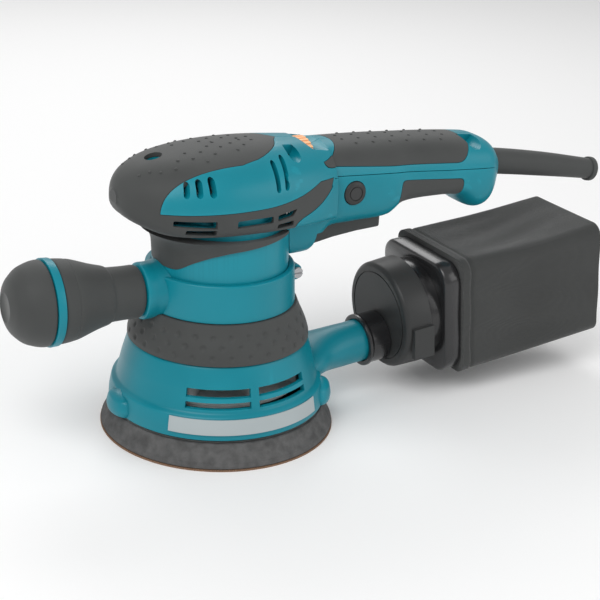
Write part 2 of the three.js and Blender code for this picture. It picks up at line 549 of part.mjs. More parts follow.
// The two clamshell halves of the head and handle, and the soft grips set into them.
function addShells() {
  const saddle = barY(SADDLE.radius, -SADDLE.half, SADDLE.half, SADDLE.x, SADDLE.height, 20);
  const dialWell = barX(DIAL.radius + 0.4, DIAL.front - 0.4, DIAL.rear + 0.4, 0, DIAL.height, 24);
  const neckHole = disc(NECK_RADIUS + GAP, 60, NECK_TOP + GAP, 28);
  const neckTop = disc(33.4, 100, 121.3, 28);
  const palmHole = disc(PALM_HOLE.radius, 130, 160, 12).translate(PALM_HOLE.x, 0, 0);
  const notches = [FRONT_NOTCH, REAR_NOTCH].map(({ x, height, radius, depth }) => barY(radius, -40,
    depth, x, height, 12));
  piece("palm_grip", cut(skin.intersect(palmZone(0)), neckTop, palmHole, saddle, ...bandSlots), SOFT);
  piece("handle_top_grip", cut(skin.intersect(prism(topGripSide(0))), dialIsland(0), notches[1]), SOFT);
  piece("handle_lower_grip", skin.intersect(prism(lowerGripSide(0))), SOFT);

  const zones = [palmZone(GAP), prism(topGripSide(GAP)).subtract(dialIsland(GAP)),
    prism(lowerGripSide(GAP))];
  const pockets = zones.map((zone) => zone.subtract(shellBed));
  const step = block(43.6, 95, -FAR, FAR, 80, 104.6);
  const triggerSlot = block(TRIGGER.front - 0.6, TRIGGER.rear + 0.6, -TRIGGER.half - 0.4,
    TRIGGER.half + 0.4, 90, 113);
  const guardHoles = [barX(7.8, 150, 170, 0, 124.6, 20), barX(10.9, 150.7, 155.3, 0, 125, 24)];
  const pinHole = barY(1.9, -14.3, 14.3, TRIGGER.pivotX, TRIGGER.pivotHeight, 14);
  const buttonHole = barY(BUTTON.radius + GAP, -30, -10, BUTTON.x, BUTTON.height, 24);
  const shell = cut(outerBody, cavity, ...panelSlots, ...bandSlots);
  const posts = housingScrews.map(([x, z]) => solidOf(barY(4, -FAR, FAR, x, z, 8)).intersect(outerBody));
  const screwHoles = housingScrews.map(([x, z]) => barY(1.8, -15, 30, x, z, 8));
  const headWells = housingScrews.map(([x, z]) => barY(3.7, 17, FAR, x, z, 10));
  const whole = cut(joined(shell, ...posts), ...pockets, saddle, dialWell, neckHole, neckTop, palmHole,
    step, triggerSlot,
    ...guardHoles, buttonHole, pinHole, ...notches, ...screwHoles, ...headWells);
  piece("handle_left", cut(whole, block(-100, 200, -GAP / 2, 100, 50, 200)), TEAL);
  piece("handle_right", cut(whole, block(-100, 200, -100, GAP / 2, 50, 200)), TEAL);
  housingScrews.forEach(([x, z], i) => {
    const screw = turned([[0, -12.5], [1.5, -12.5], [1.5, 17.3], [3.3, 17.3], [3.3, 19.6], [0, 19.6]], 10);
    piece(`housing_screw_${i + 1}`, screw.rotateX(-Math.PI / 2).translate(x, 0, z), STEEL);
  });
}

// The switch with its trigger and lock button, the speed dial and its board, and the cord's guard and
// clamp.
function addControls() {
  const paddle = [[TRIGGER.front, 94.8], [60, 97], [74, 98.6], [TRIGGER.rear, 99.4], [TRIGGER.rear, 109],
    [62, 111.6], [50, 111.6],
    [TRIGGER.front, 109]];
  const pinHole = barY(1.9, -20, 20, TRIGGER.pivotX, TRIGGER.pivotHeight, 14);
  piece("trigger", cut(prism(paddle, -TRIGGER.half, TRIGGER.half), pinHole), SOFT);
  piece("trigger_pin", barY(1.6, -14, 14, TRIGGER.pivotX, TRIGGER.pivotHeight, 14), STEEL);
  const button = turned([[0, -25.4], [4.6, -25.4], [BUTTON.radius, -24.6], [BUTTON.radius, -14], [0,
    -14]], 24);
  piece("lock_button", button.rotateX(-Math.PI / 2).translate(BUTTON.x, 0, BUTTON.height), BLACK);
  piece("switch_body", block(57, 83.5, -10.5, 10.5, 114.5, 137), BLACK);
  const rim = [];
  for (let i = 0; i < 24; i++) {
    rim.push(solidOf(barX(0.9, DIAL.front - 1, DIAL.rear + 1, 0, DIAL.radius + 0.2,
      4).rotateX((2 * Math.PI * i) / 24)));
  }
  const dial = cut(barX(DIAL.radius, DIAL.front, DIAL.rear, 0, 0, 24), ...rim);
  piece("speed_dial", cut(dial, barX(2.4, 30, 60, 0, 0, 12)).translate([0, 0, DIAL.height]), AMBER);
  piece("dial_shaft", barX(2.1, 36, 51, 0, DIAL.height, 12), STEEL);
  piece("controller_board", block(101, 130, -11.5, 11.5, 120.4, 122), BOARD);
  addCordGuard();
}

function addCordGuard() {
  const sleeve = (radiusAt, from, to) => {
    const rings = [];
    const steps = 8;
    for (let i = 0; i <= steps; i++) {
      const t = from + ((to - from) * i) / steps;
      const [centre, way] = [guardPath.getPoint(t), guardPath.getTangent(t)];
      const up = new THREE.Vector3(-way.z, 0, way.x);
      const ring = [];
      for (let j = 0; j < 12; j++) {
        const angle = (2 * Math.PI * j) / 12;
        const radius = radiusAt(centre.x);
        ring.push(centre.clone().addScaledVector(up, radius * Math.sin(angle)).add(new THREE.Vector3(0,
          radius * Math.cos(angle), 0)));
      }
      rings.push(ring);
    }
    return solidOf(lofted(rings));
  };
  const taper = curveThrough([[150, 7.3], [171, 7.3], [203, 6.9], [233, 6.1], [242, 6]]);
  const collar = barX(10.5, 151, 155, 0, 125, 24);
  const rim = disc(7, 0, 3.4, 24).rotateY(Math.PI / 2).rotateY(0.17).translate(237.6, 0, 112.8);
  piece("cord_guard", cut(joined(sleeve(taper, 0.02, 0.985), solidOf(collar), solidOf(rim)),
    sleeve(() => 3.9, 0, 1)), BLACK);
}

addPad();
addRotor();
addSkirt();
addMotor();
addBand();
addKnob();
addBag();
addShells();
addControls();
export default sander;
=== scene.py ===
"""Looks of the random orbit sander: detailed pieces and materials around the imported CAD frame.

Shapes are written in millimetres in the CAD's frame, and become metres when a piece is made.
"""

import json
import math

import bpy
from mathutils import Matrix, Vector


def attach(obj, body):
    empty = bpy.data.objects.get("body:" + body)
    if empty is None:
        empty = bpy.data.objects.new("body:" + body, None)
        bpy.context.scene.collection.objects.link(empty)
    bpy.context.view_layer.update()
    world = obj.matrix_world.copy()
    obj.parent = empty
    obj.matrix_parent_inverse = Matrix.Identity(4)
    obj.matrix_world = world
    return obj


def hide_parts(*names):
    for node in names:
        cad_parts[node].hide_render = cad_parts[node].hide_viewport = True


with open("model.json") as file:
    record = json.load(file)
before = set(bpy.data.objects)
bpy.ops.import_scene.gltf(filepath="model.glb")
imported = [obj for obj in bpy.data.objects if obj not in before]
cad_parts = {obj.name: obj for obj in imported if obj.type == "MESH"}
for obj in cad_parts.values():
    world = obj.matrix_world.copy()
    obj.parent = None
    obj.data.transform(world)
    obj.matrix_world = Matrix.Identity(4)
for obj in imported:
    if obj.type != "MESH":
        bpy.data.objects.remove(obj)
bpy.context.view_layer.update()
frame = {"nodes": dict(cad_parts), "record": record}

MM = 0.001
GAP = 0.3  # clearance between neighbouring pieces
FAR = 60  # past the widest piece on either side
ALONG_X = Matrix.Rotation(math.pi / 2, 4, "Y")
ALONG_Y = Matrix.Rotation(-math.pi / 2, 4, "X")

# Camera, in metres and degrees.
CAMERA_PLACE = (-0.3123, -0.6129, 0.3435)
CAMERA_TURN = -30.5
CAMERA_DIP = 21.8
CAMERA_ROLL = 3.0
LENS_MM = 85.8

# Head and handle.
WALL = 5
GRIP_DEPTH = 2.2
HEAD_FRONT, HEAD_REAR, HEAD_WIDEST = -58.8, 52, -8
HEAD_HALF_WIDTH = 37
HANDLE_FRONT, HANDLE_REAR = 12, 161.5
NECK_RADIUS = 35
NECK_TOP = 110.5
SCREW_PLACES = [(24, 138), (51, 117.5), (88.6, 121), (140.5, 121), (147.5, 108.4)]
TRIGGER_PIN = (52, 108.4)
LOCK_PLACE = (63.8, 124.4)
WHEEL_HEIGHT = 134
GUARD_START, GUARD_LENGTH = 149, 92
# Dots on the palm grip as (x, y), repeated on its other side.
PALM_DOTS = [(-49.6, 10.1), (-45.1, 12.2), (-41, 15.8), (-34, 17.7), (-30.7, 12.7), (-24.7, 7.5),
             (-23.4, 14.2), (-17.7, 18.9), (-17.3, 9.8), (-11.5, 4.5), (-11.4, 14.1), (-6.6, 0.4),
             (-5.6, 7.9), (1.1, 5), (1, 13.5), (6.8, 8.8), (7.6, 1.4), (13.7, 3.1)]

# Pad, skirt, knob and dust bag.
ORBIT = 1.4
DUCT_RADIUS = 11.8
DUCT_TILT = math.radians(6)
SOCKET_DROP = 11.7
BAG_X, BAG_Z = 99.5, 42.2
BAG_PLACE = Matrix.Translation((BAG_X, 0, BAG_Z)) @ Matrix.Rotation(-DUCT_TILT, 4, "Y")
KNOB_PLACE = Matrix.Translation((0, 0, 77.3)) @ Matrix.Rotation(math.radians(-90 + 1.4), 4, "Y")


# ---------- camera, lights and floor ----------
def add_camera():
    lens = bpy.data.cameras.new("camera")
    lens.sensor_width = 36
    lens.lens = LENS_MM
    lens.clip_end = 20
    camera = bpy.data.objects.new("camera", lens)
    turn = Matrix.Rotation(math.radians(CAMERA_TURN), 4, "Z")
    tip = Matrix.Rotation(math.radians(90 - CAMERA_DIP), 4, "X")
    roll = Matrix.Rotation(math.radians(CAMERA_ROLL), 4, "Z")
    camera.matrix_world = Matrix.Translation(CAMERA_PLACE) @ turn @ tip @ roll
    bpy.context.scene.collection.objects.link(camera)
    bpy.context.scene.camera = camera


def add_light(name, place, size, power):
    """A rectangular light that faces the sander."""
    data = bpy.data.lights.new(name, "AREA")
    data.shape = "RECTANGLE"
    data.size, data.size_y = size
    data.energy = power
    lamp = bpy.data.objects.new(name, data)
    lamp.location = place
    aim = Vector((0.03, 0, 0.07)) - Vector(place)
    lamp.rotation_euler = aim.to_track_quat("-Z", "Y").to_euler()
    bpy.context.scene.collection.objects.link(lamp)


def add_studio():
    bpy.context.scene.view_settings.view_transform = "Standard"
    world = bpy.data.worlds.new("studio")
    world.use_nodes = True
    sky = world.node_tree.nodes["Background"]
    sky.inputs["Color"].default_value = (1, 1, 1, 1)
    sky.inputs["Strength"].default_value = 0.55
    bpy.context.scene.world = world
    add_light("key", (-0.75, -0.55, 1.15), (0.9, 0.9), 10)
    add_light("fill", (0.9, -0.9, 0.6), (0.8, 0.8), 3.2)
    add_light("rim", (0.3, 1.0, 0.9), (0.9, 0.5), 4)
    mesh = bpy.data.meshes.new("floor")
    mesh.from_pydata([(-6, -6, 0), (6, -6, 0), (6, 6, 0), (-6, 6, 0)], [], [(0, 1, 2, 3)])
    floor = bpy.data.objects.new("floor", mesh)
    bpy.context.scene.collection.objects.link(floor)
    floor.data.materials.append(Finish("floor", (0.97, 0.97, 0.97), 0.7).material)


# ---------- materials ----------
class Finish:
    """A procedural material, built up in steps on one Principled shader."""

    def __init__(self, name, colour, roughness, metallic=0.0):
        self.material = bpy.data.materials.new(name)
        self.material.use_nodes = True
        self.tree = self.material.node_tree
        self.shader = self.tree.nodes["Principled BSDF"]
        self.shader.inputs["Base Color"].default_value = (*colour, 1)
        self.shader.inputs["Roughness"].default_value = roughness
        self.shader.inputs["Metallic"].default_value = metallic
        self.shader.inputs["Specular IOR Level"].default_value = 0.3
        self.place = self.tree.nodes.new("ShaderNodeTexCoord").outputs["Object"]
        self.bump = None

    def node(self, kind, **values):
        made = self.tree.nodes.new(kind)
        for name, value in values.items():
            if hasattr(made, name):
                setattr(made, name, value)
            else:
                made.inputs[name.replace("_", " ")].default_value = value
        return made

    def link(self, output, target):
        self.tree.links.new(output, target)

    def noise(self, scale, detail=3.0, place=None):
        made = self.node("ShaderNodeTexNoise", Scale=scale, Detail=detail)
        self.link(place or self.place, made.inputs["Vector"])
        return made.outputs["Fac"]

    def spread(self, value, low, high, from_low=0.3, from_high=0.7):
        """Stretches the span from_low..from_high of a value over low..high."""
        made = self.node("ShaderNodeMapRange", From_Min=from_low, From_Max=from_high, To_Min=low,
                         To_Max=high)
        self.link(value, made.inputs["Value"])
        return made.outputs["Result"]

    def tint(self, value, dark, light):
        """The colour runs between two colours as value goes from 0 to 1."""
        mix = self.node("ShaderNodeMix", data_type="RGBA")
        self.link(value, mix.inputs["Factor"])
        mix.inputs["A"].default_value = (*dark, 1)
        mix.inputs["B"].default_value = (*light, 1)
        self.link(mix.outputs["Result"], self.shader.inputs["Base Color"])

    def tint_around(self, value, colour, dark, light):
        """The colour runs between darker and lighter shades of one colour."""
        self.tint(value, [c * dark for c in colour], [min(c * light, 1) for c in colour])

    def roughen(self, value, low, high):
        self.link(self.spread(value, low, high), self.shader.inputs["Roughness"])

    def raise_by(self, height, depth_mm, strength=1.0):
        """Adds a bump of that depth, on top of any bump before it."""
        made = self.node("ShaderNodeBump", Strength=strength, Distance=depth_mm * MM)
        self.link(height, made.inputs["Height"])
        if self.bump:
            self.link(self.bump, made.inputs["Normal"])
        self.bump = made.outputs["Normal"]
        self.link(self.bump, self.shader.inputs["Normal"])

    def edges(self):
        """0 in hollows, 1 on worn edges."""
        geometry = self.node("ShaderNodeNewGeometry")
        return self.spread(geometry.outputs["Pointiness"], 0, 1, 0.47, 0.58)

    def sheen(self, weight, roughness):
        self.shader.inputs["Sheen Weight"].default_value = weight
        self.shader.inputs["Sheen Roughness"].default_value = roughness


def moulded(name, colour, roughness, depth_mm=0.03, coat=0.0):
    """Moulded plastic: fine spark grain, slight tone shifts, paler worn edges."""
    finish = Finish(name, colour, roughness)
    grain = finish.noise(1 / (0.5 * MM), 4)
    cloud = finish.noise(28, 2)
    finish.roughen(cloud, roughness - 0.05, roughness + 0.06)
    deep = [c * 0.93 for c in colour]
    pale = [min(c * 1.25 + 0.004, 1) for c in colour]
    mixed = finish.node("ShaderNodeMath", operation="MULTIPLY_ADD")
    finish.link(finish.edges(), mixed.inputs[0])
    mixed.inputs[1].default_value = 0.7
    finish.link(finish.spread(cloud, 0, 0.3), mixed.inputs[2])
    finish.tint(mixed.outputs["Value"], deep, pale)
    finish.raise_by(grain, depth_mm)
    finish.shader.inputs["Coat Weight"].default_value = coat
    finish.shader.inputs["Coat Roughness"].default_value = 0.25
    return finish.material


def rubbery(name, colour):
    """Soft over-moulding: matte, with slight tone shifts and a faint sheen."""
    finish = Finish(name, colour, 0.62)
    grain = finish.noise(1 / (0.35 * MM), 5)
    cloud = finish.noise(35, 3)
    finish.roughen(cloud, 0.55, 0.7)
    finish.tint_around(finish.spread(cloud, 0, 1), colour, 0.88, 1.12)
    finish.raise_by(grain, 0.05)
    finish.sheen(0.12, 0.5)
    return finish.material


def woven(name, colour):
    """Coated polyester cloth: a plain weave of fine threads, with slight fading in patches."""
    finish = Finish(name, colour, 0.8)
    weave = finish.node("ShaderNodeMath", operation="MULTIPLY_ADD")
    for direction, target in zip(("X", "Z", "Y"), weave.inputs):
        threads = finish.node("ShaderNodeTexWave", Scale=900, Distortion=0.6, bands_direction=direction)
        finish.link(finish.place, threads.inputs["Vector"])
        finish.link(threads.outputs["Fac"], target)
    cloud = finish.noise(30, 4)
    finish.roughen(cloud, 0.72, 0.88)
    finish.tint_around(finish.spread(cloud, 0, 1), colour, 0.85, 1.15)
    finish.raise_by(weave.outputs["Value"], 0.12, 0.6)
    finish.sheen(0.25, 0.4)
    return finish.material


def foamy(name, colour):
    """Dense foam: open pores and a rough edge."""
    finish = Finish(name, colour, 0.9)
    cells = finish.node("ShaderNodeTexVoronoi", Scale=1500)
    finish.link(finish.place, cells.inputs["Vector"])
    cloud = finish.noise(220, 4)
    finish.tint_around(finish.spread(cloud, 0, 1), colour, 0.7, 1.2)
    finish.raise_by(cells.outputs["Distance"], 0.2, 0.7)
    return finish.material


def gritty(name, colour):
    """Abrasive paper: packed grains with bright and dark flecks."""
    finish = Finish(name, colour, 0.85)
    grains = finish.node("ShaderNodeTexVoronoi", Scale=2600)
    finish.link(finish.place, grains.inputs["Vector"])
    fleck = finish.noise(2400, 2)
    finish.tint_around(finish.spread(fleck, 0, 1), colour, 0.55, 1.5)
    finish.raise_by(grains.outputs["Distance"], 0.3, 0.8)
    return finish.material


def metal(name, colour, roughness, grain_mm=0.4):
    """Turned or brushed metal: fine scratches and slightly duller patches."""
    finish = Finish(name, colour, roughness, 1.0)
    scratch = finish.node("ShaderNodeMapping")
    scratch.inputs["Scale"].default_value = (1, 1, 12)
    finish.link(finish.place, scratch.inputs["Vector"])
    lines = finish.noise(1 / (grain_mm * MM), 3, scratch.outputs["Vector"])
    finish.roughen(finish.noise(60, 3), roughness - 0.08, roughness + 0.12)
    finish.raise_by(lines, 0.02)
    finish.tint_around(finish.spread(lines, 0, 1), colour, 0.85, 1)
    return finish.material


FINISHES = {
    "teal_plastic": moulded("teal_plastic", (0.0, 0.2, 0.26), 0.36, coat=0.06),
    "soft_rubber": rubbery("soft_rubber", (0.052, 0.055, 0.054)),
    "black_plastic": moulded("black_plastic", (0.03, 0.031, 0.031), 0.42),
    "gloss_black": moulded("gloss_black", (0.016, 0.016, 0.017), 0.22, depth_mm=0.01, coat=0.5),
    "bag_cloth": woven("bag_cloth", (0.045, 0.047, 0.046)),
    "pad_foam": foamy("pad_foam", (0.1, 0.1, 0.1)),
    "abrasive": gritty("abrasive", (0.22, 0.13, 0.08)),
    "grey_label": moulded("grey_label", (0.33, 0.37, 0.38), 0.4, depth_mm=0.01),
    "amber_plastic": moulded("amber_plastic", (0.85, 0.45, 0.24), 0.4),
    "pale_plastic": moulded("pale_plastic", (0.6, 0.61, 0.6), 0.45),
    "steel": metal("steel", (0.55, 0.56, 0.58), 0.3),
    "zinc_screw": metal("zinc_screw", (0.45, 0.45, 0.46), 0.35),
    "cast_alloy": metal("cast_alloy", (0.6, 0.61, 0.62), 0.45, 0.8),
    "copper": metal("copper", (0.72, 0.38, 0.22), 0.3),
    "carbon": moulded("carbon", (0.03, 0.03, 0.03), 0.6),
    "circuit_board": moulded("circuit_board", (0.03, 0.14, 0.05), 0.4),
}


# ---------- mesh tools ----------
def curve_through(points):
    """A smooth curve through (x, value) points, read at any x."""
    def read(x):
        i = 1
        while i < len(points) - 1 and points[i][0] < x:
            i += 1
        (x0, y0), (x1, y1) = points[i - 1], points[i]

        def slope(j):
            a, b = points[max(j - 1, 0)], points[min(j + 1, len(points) - 1)]
            return (b[1] - a[1]) / (b[0] - a[0])

        t = (x - x0) / (x1 - x0)
        lean = (t * (1 - t) ** 2 * slope(i - 1) - t * t * (1 - t) * slope(i)) * (x1 - x0)
        return y0 + t * t * (3 - 2 * t) * (y1 - y0) + lean
    return read


def softened(points, reach, steps=3, is_open=False):
    """The outline with each corner turned into a small round, reach millimetres long on each side."""
    count = len(points)
    rounded = []
    for i, point in enumerate(points):
        here = Vector(point)
        before, after = Vector(points[i - 1]), Vector(points[(i + 1) % count])
        if is_open and i in (0, count - 1):
            rounded.append(tuple(here))
            continue
        first = here + (before - here).normalized() * min(reach, 0.45 * (before - here).length)
        last = here + (after - here).normalized() * min(reach, 0.45 * (after - here).length)
        for k in range(steps + 1):
            t = k / steps
            rounded.append(tuple(first * (1 - t) ** 2 + here * (2 * t * (1 - t)) + last * t * t))
    return rounded


def solid(name, points, faces, place=None):
    """A new object from millimetre points, with its faces turned outward."""
    mesh = bpy.data.meshes.new(name)
    mesh.from_pydata([tuple(p) for p in points], [], faces)
    mesh.transform(Matrix.Scale(MM, 4) @ (place or Matrix.Identity(4)))
    made = bpy.data.objects.new(name, mesh)
    bpy.context.scene.collection.objects.link(made)
    if volume_of(mesh) < 0:
        mesh.flip_normals()
    return made


def volume_of(mesh):
    mesh.calc_loop_triangles()
    total = 0.0
    for triangle in mesh.loop_triangles:
        a, b, c = (mesh.vertices[i].co for i in triangle.vertices)
        total += a.dot(b.cross(c))
    return total


def lofted(name, rings, place=None):
    """A closed skin through rings of equal point counts, with a flat cap at each end."""
    count = len(rings[0])
    points = [p for ring in rings for p in ring]
    faces = []
    for start in range(0, (len(rings) - 1) * count, count):
        for i in range(count):
            after = (i + 1) % count
            faces.append((start + i, start + after, start + count + after, start + count + i))
    faces.append(tuple(reversed(range(count))))
    faces.append(tuple(range(len(points) - count, len(points))))
    return solid(name, points, faces, place)


def turned(name, profile, sides=96, place=None, shape=None):
    """A round body about +Z from (radius, height) points.

    It is a ring, or a solid when both ends of the profile lie on the axis.
    """
    full = profile[0][0] == 0 and profile[-1][0] == 0
    rims = profile[1:-1] if full else profile
    points, faces = [], []
    for radius, height in rims:
        for i in range(sides):
            angle = 2 * math.pi * i / sides
            r, z = shape(radius, height, angle) if shape else (radius, height)
            points.append((r * math.cos(angle), r * math.sin(angle), z))
    rows = len(rims) - 1 if full else len(rims)
    for row in range(rows):
        here, above = row * sides, ((row + 1) % len(rims)) * sides
        for i in range(sides):
            after = (i + 1) % sides
            faces.append((here + i, here + after, above + after, above + i))
    if full:
        points += [(0, 0, profile[0][1]), (0, 0, profile[-1][1])]
        bottom, top = len(points) - 2, len(points) - 1
        last = (len(rims) - 1) * sides
        for i in range(sides):
            after = (i + 1) % sides
            faces.append((bottom, after, i))
            faces.append((top, last + i, last + after))
    return solid(name, points, faces, place)


def disc(radius, low, high, sides=64, place=None):
    return turned("tool", [(0, low), (radius, low), (radius, high), (0, high)], sides, place)


def bar_x(radius, start, end, z, sides=64):
    return disc(radius, start, end, sides, Matrix.Translation((0, 0, z)) @ ALONG_X)


def bar_y(radius, start, end, x, z, sides=64):
    return disc(radius, start, end, sides, Matrix.Translation((x, 0, z)) @ ALONG_Y)


def prism(outline, start=-FAR, end=FAR):
    """An (x, z) outline carried across from one Y to another."""
    return lofted("tool", [[(x, y, z) for x, z in outline] for y in (start, end)])


def block(x0, x1, y0, y1, z0, z1, place=None):
    corners = [(x0, y0), (x1, y0), (x1, y1), (x0, y1)]
    return lofted("tool", [[(x, y, z) for x, y in corners] for z in (z0, z1)], place)


def apply_modifiers(piece):
    graph = bpy.context.evaluated_depsgraph_get()
    mesh = bpy.data.meshes.new_from_object(piece.evaluated_get(graph))
    piece.modifiers.clear()
    piece.data = mesh


def combine(target, operation, tools):
    for tool in tools:
        step = target.modifiers.new("step", "BOOLEAN")
        step.operation = operation
        step.solver = "MANIFOLD"
        step.object = tool
    apply_modifiers(target)
    for tool in tools:
        bpy.data.objects.remove(tool)
    return target


def cut(target, *tools):
    return combine(target, "DIFFERENCE", tools)


def joined(target, *tools):
    return combine(target, "UNION", tools)


def common(target, *tools):
    return combine(target, "INTERSECT", tools)


def copy_of(piece):
    made = bpy.data.objects.new("tool", piece.data.copy())
    bpy.context.scene.collection.objects.link(made)
    return made


def finished(piece, name, body, slot, *nodes, angle=32, bevel=0.0):
    """Names, shades and places a piece, and hides the CAD nodes that it stands for."""
    piece.name = name
    piece.data.name = name
    if bevel:
        round_off = piece.modifiers.new("round", "BEVEL")
        round_off.width = bevel * MM
        round_off.segments = 2
        round_off.angle_limit = math.radians(40)
        apply_modifiers(piece)
    piece.data.polygons.foreach_set("use_smooth", [True] * len(piece.data.polygons))
    piece.data.set_sharp_from_angle(angle=math.radians(angle))
    piece.data.materials.clear()
    piece.data.materials.append(FINISHES[slot])
    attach(piece, body)
    if nodes:
        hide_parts(*nodes)


# ---------- head and handle ----------
head_top = curve_through([(-58.8, 133), (-56, 138.5), (-48, 144.2), (-34, 148.6), (-10, 151.4), (15, 151.8),
                          (52, 149.5)])
head_bottom = curve_through([(-58.8, 126.5), (-56, 121), (-48, 115.8), (-38, 112.4), (-20, 111.6),
                             (52, 111.6)])
handle_top = curve_through([(12, 146), (30, 148), (55, 147.6), (78, 147), (102, 146), (127, 144.4),
                            (146, 142.6), (153, 141.5), (158, 138.5), (161.5, 134)])
handle_bottom = curve_through([(12, 91), (43, 91), (47, 96), (52, 103), (66, 104.5), (84, 105), (90, 106),
                               (97, 111.5), (120, 113), (136, 111.5), (141, 107.5), (145.5, 104), (150, 103),
                               (155, 104.8), (159, 109.5), (161.5, 116.5)])
handle_half = curve_through([(12, 22), (40, 24), (62, 24), (88, 23.5), (99, 22), (131, 22), (148, 22),
                             (155, 20.5), (161.5, 14.5)])


def section(x, half, top, bottom, middle, crown, belly, count):
    """A rounded oval with its own squareness above and below its widest line."""
    ring = []
    for i in range(count):
        angle = 2 * math.pi * (i + 0.5) / count
        c, s = math.cos(angle), math.sin(angle)
        power = 2 / (crown if s > 0 else belly)
        reach = top - middle if s > 0 else middle - bottom
        y = half * math.copysign(abs(c) ** power, c)
        ring.append((x, y, middle + math.copysign(abs(s) ** power, s) * reach))
    return ring


def eased(start, end, steps):
    """Places from start to end, closer together near both ends."""
    return [start + (end - start) * (1 - math.cos(math.pi * i / steps)) / 2 for i in range(steps + 1)]


def head(inset):
    front, rear = HEAD_FRONT + inset, HEAD_REAR - inset
    rings = []
    for x in eased(front, rear, 56):
        reach = HEAD_WIDEST - front if x < HEAD_WIDEST else 88
        narrow = max(1 - ((x - HEAD_WIDEST) / reach) ** 2, 0.012)
        half = (HEAD_HALF_WIDTH - inset) * narrow ** 0.5
        top = head_top(x) - inset
        bottom = min(head_bottom(x) + inset, top - 1)
        middle = bottom + (top - bottom) * 0.33
        belly = 3 + 5 * (max(x, -50) + 50) / 102
        rings.append(section(x, half, top, bottom, middle, 2.3, belly, 88))
    return lofted("head", rings)


def handle(inset):
    rings = []
    for x in eased(HANDLE_FRONT + inset, HANDLE_REAR - inset, 84):
        top, bottom = handle_top(x) - inset, handle_bottom(x) + inset
        rings.append(section(x, handle_half(x) - inset, top, bottom, 125, 2.7, 3.2, 72))
    return lofted("handle", rings)


def body(inset):
    return joined(head(inset), handle(inset))


# Grip outlines, each moved by e past the grip's own edge.
def palm_oval(e):
    edge = curve_through([(4.5, 25.6), (11.8, 22), (18, 15.5), (22.4, 7.5), (24.9, -2)])
    side = [(-80, 24.9 + e), (-2, 24.9 + e)]
    side += [(edge(y) + 0.7 * e, y + e) for y in (22.4, 20.5, 18, 15, 11.8, 8, 4.5, 0)]
    outline = side + [(x, -y) for x, y in reversed(side[:-1])]
    return lofted("tool", [[(x, y, z) for x, y in outline] for z in (120, 180)])


def panel_side(e):
    lower = curve_through([(-8, 126.2), (5, 126.4), (15, 127.2), (27, 129.6), (35, 132.4), (41, 135)])
    edge = [(x, lower(x) - e) for x in range(-8, 42, 4)]
    rear = [(49 - e, 134.8 - e), (47 - 2 * e, 131 - e), (80, 131 - e), (80, 170), (-80, 170)]
    return prism([(-80, 126.2 - e)] + edge + rear)


def rear_side(e):
    corners = [(24.3, 90), (24.3, 115.5), (27, 118), (35.4, 121.2), (40.6, 124.2), (46.4, 129.4),
               (49.4, 133.6), (49.4, 180)]
    sweep = softened([(x - e, z + e) for x, z in corners], 2.5, is_open=True)
    return prism(sweep + [(180, 180), (180, 90)])


def top_grip_side(e):
    corners = [(45 - e, 139.8 - e), (87, 136 - e), (133 + e, 133 - e), (141 + e, 143), (145 + e, 160),
               (45 - e, 160)]
    return prism(softened(corners, 4))


def lower_grip_side(e):
    corners = [(94.2 - e, 127.2 + e), (93.2 - e, 116.5), (94.5 - e, 100), (131 + e, 100), (134 + e, 117.5),
               (133.5 + e, 124 + e)]
    return prism(softened(corners, 2.5))


def dial_island(e):
    return disc(24.5 - e, 130, 170, 96, Matrix.Translation((36, 0, 0)))


def palm_zone(e):
    zone = block(-90, 50, -FAR, FAR, 105, 180)
    return cut(zone, cut(panel_side(-e), palm_oval(e)), rear_side(-e))


def leaning_slot(bottom_x, bottom_z, top_x, top_z, width):
    w, sweep = width / 2, width * 0.35
    corners = [(bottom_x - w, bottom_z + sweep), (bottom_x, bottom_z), (bottom_x + w, bottom_z + sweep),
               (top_x + w, top_z - sweep), (top_x, top_z), (top_x - w, top_z - sweep)]
    return prism(softened(corners, 1.2))


def panel_slots():
    return [leaning_slot(-33.6, 134, -32.4, 141.6, 2.8), leaning_slot(-27.7, 134, -26.8, 142.6, 3.2),
            leaning_slot(-21.3, 134, -20.8, 143.4, 3.4), leaning_slot(13.6, 133, 14.3, 147, 2.6),
            leaning_slot(18.6, 133.4, 20.6, 148.2, 2.6)]


def band_slots():
    outlines = [[(-40, 120.6), (-19.8, 119.2), (-19.8, 123), (-40, 123.6)],
                [(-34.4, 116.4), (-19.8, 115.6), (-19.8, 118.5), (-34.4, 118.9)],
                [(-9.6, 118.4), (10.4, 118.6), (10.4, 122.2), (-9.6, 122.2)],
                [(13, 119), (22, 120.4), (24.4, 123.9), (13, 122.2)],
                [(13, 115), (22.6, 115.6), (22.6, 118.3), (13, 117.4)]]
    return [prism(softened(outline, 0.9)) for outline in outlines]


def surface_under(piece, x, y):
    """The top of the piece straight below (x, y) and its normal, or None where there is none."""
    hit, point, normal, _ = piece.ray_cast(Vector((x, y, 200)) * MM, Vector((0, 0, -1)))
    if hit and point.z > 115 * MM:
        return point / MM, normal
    return None


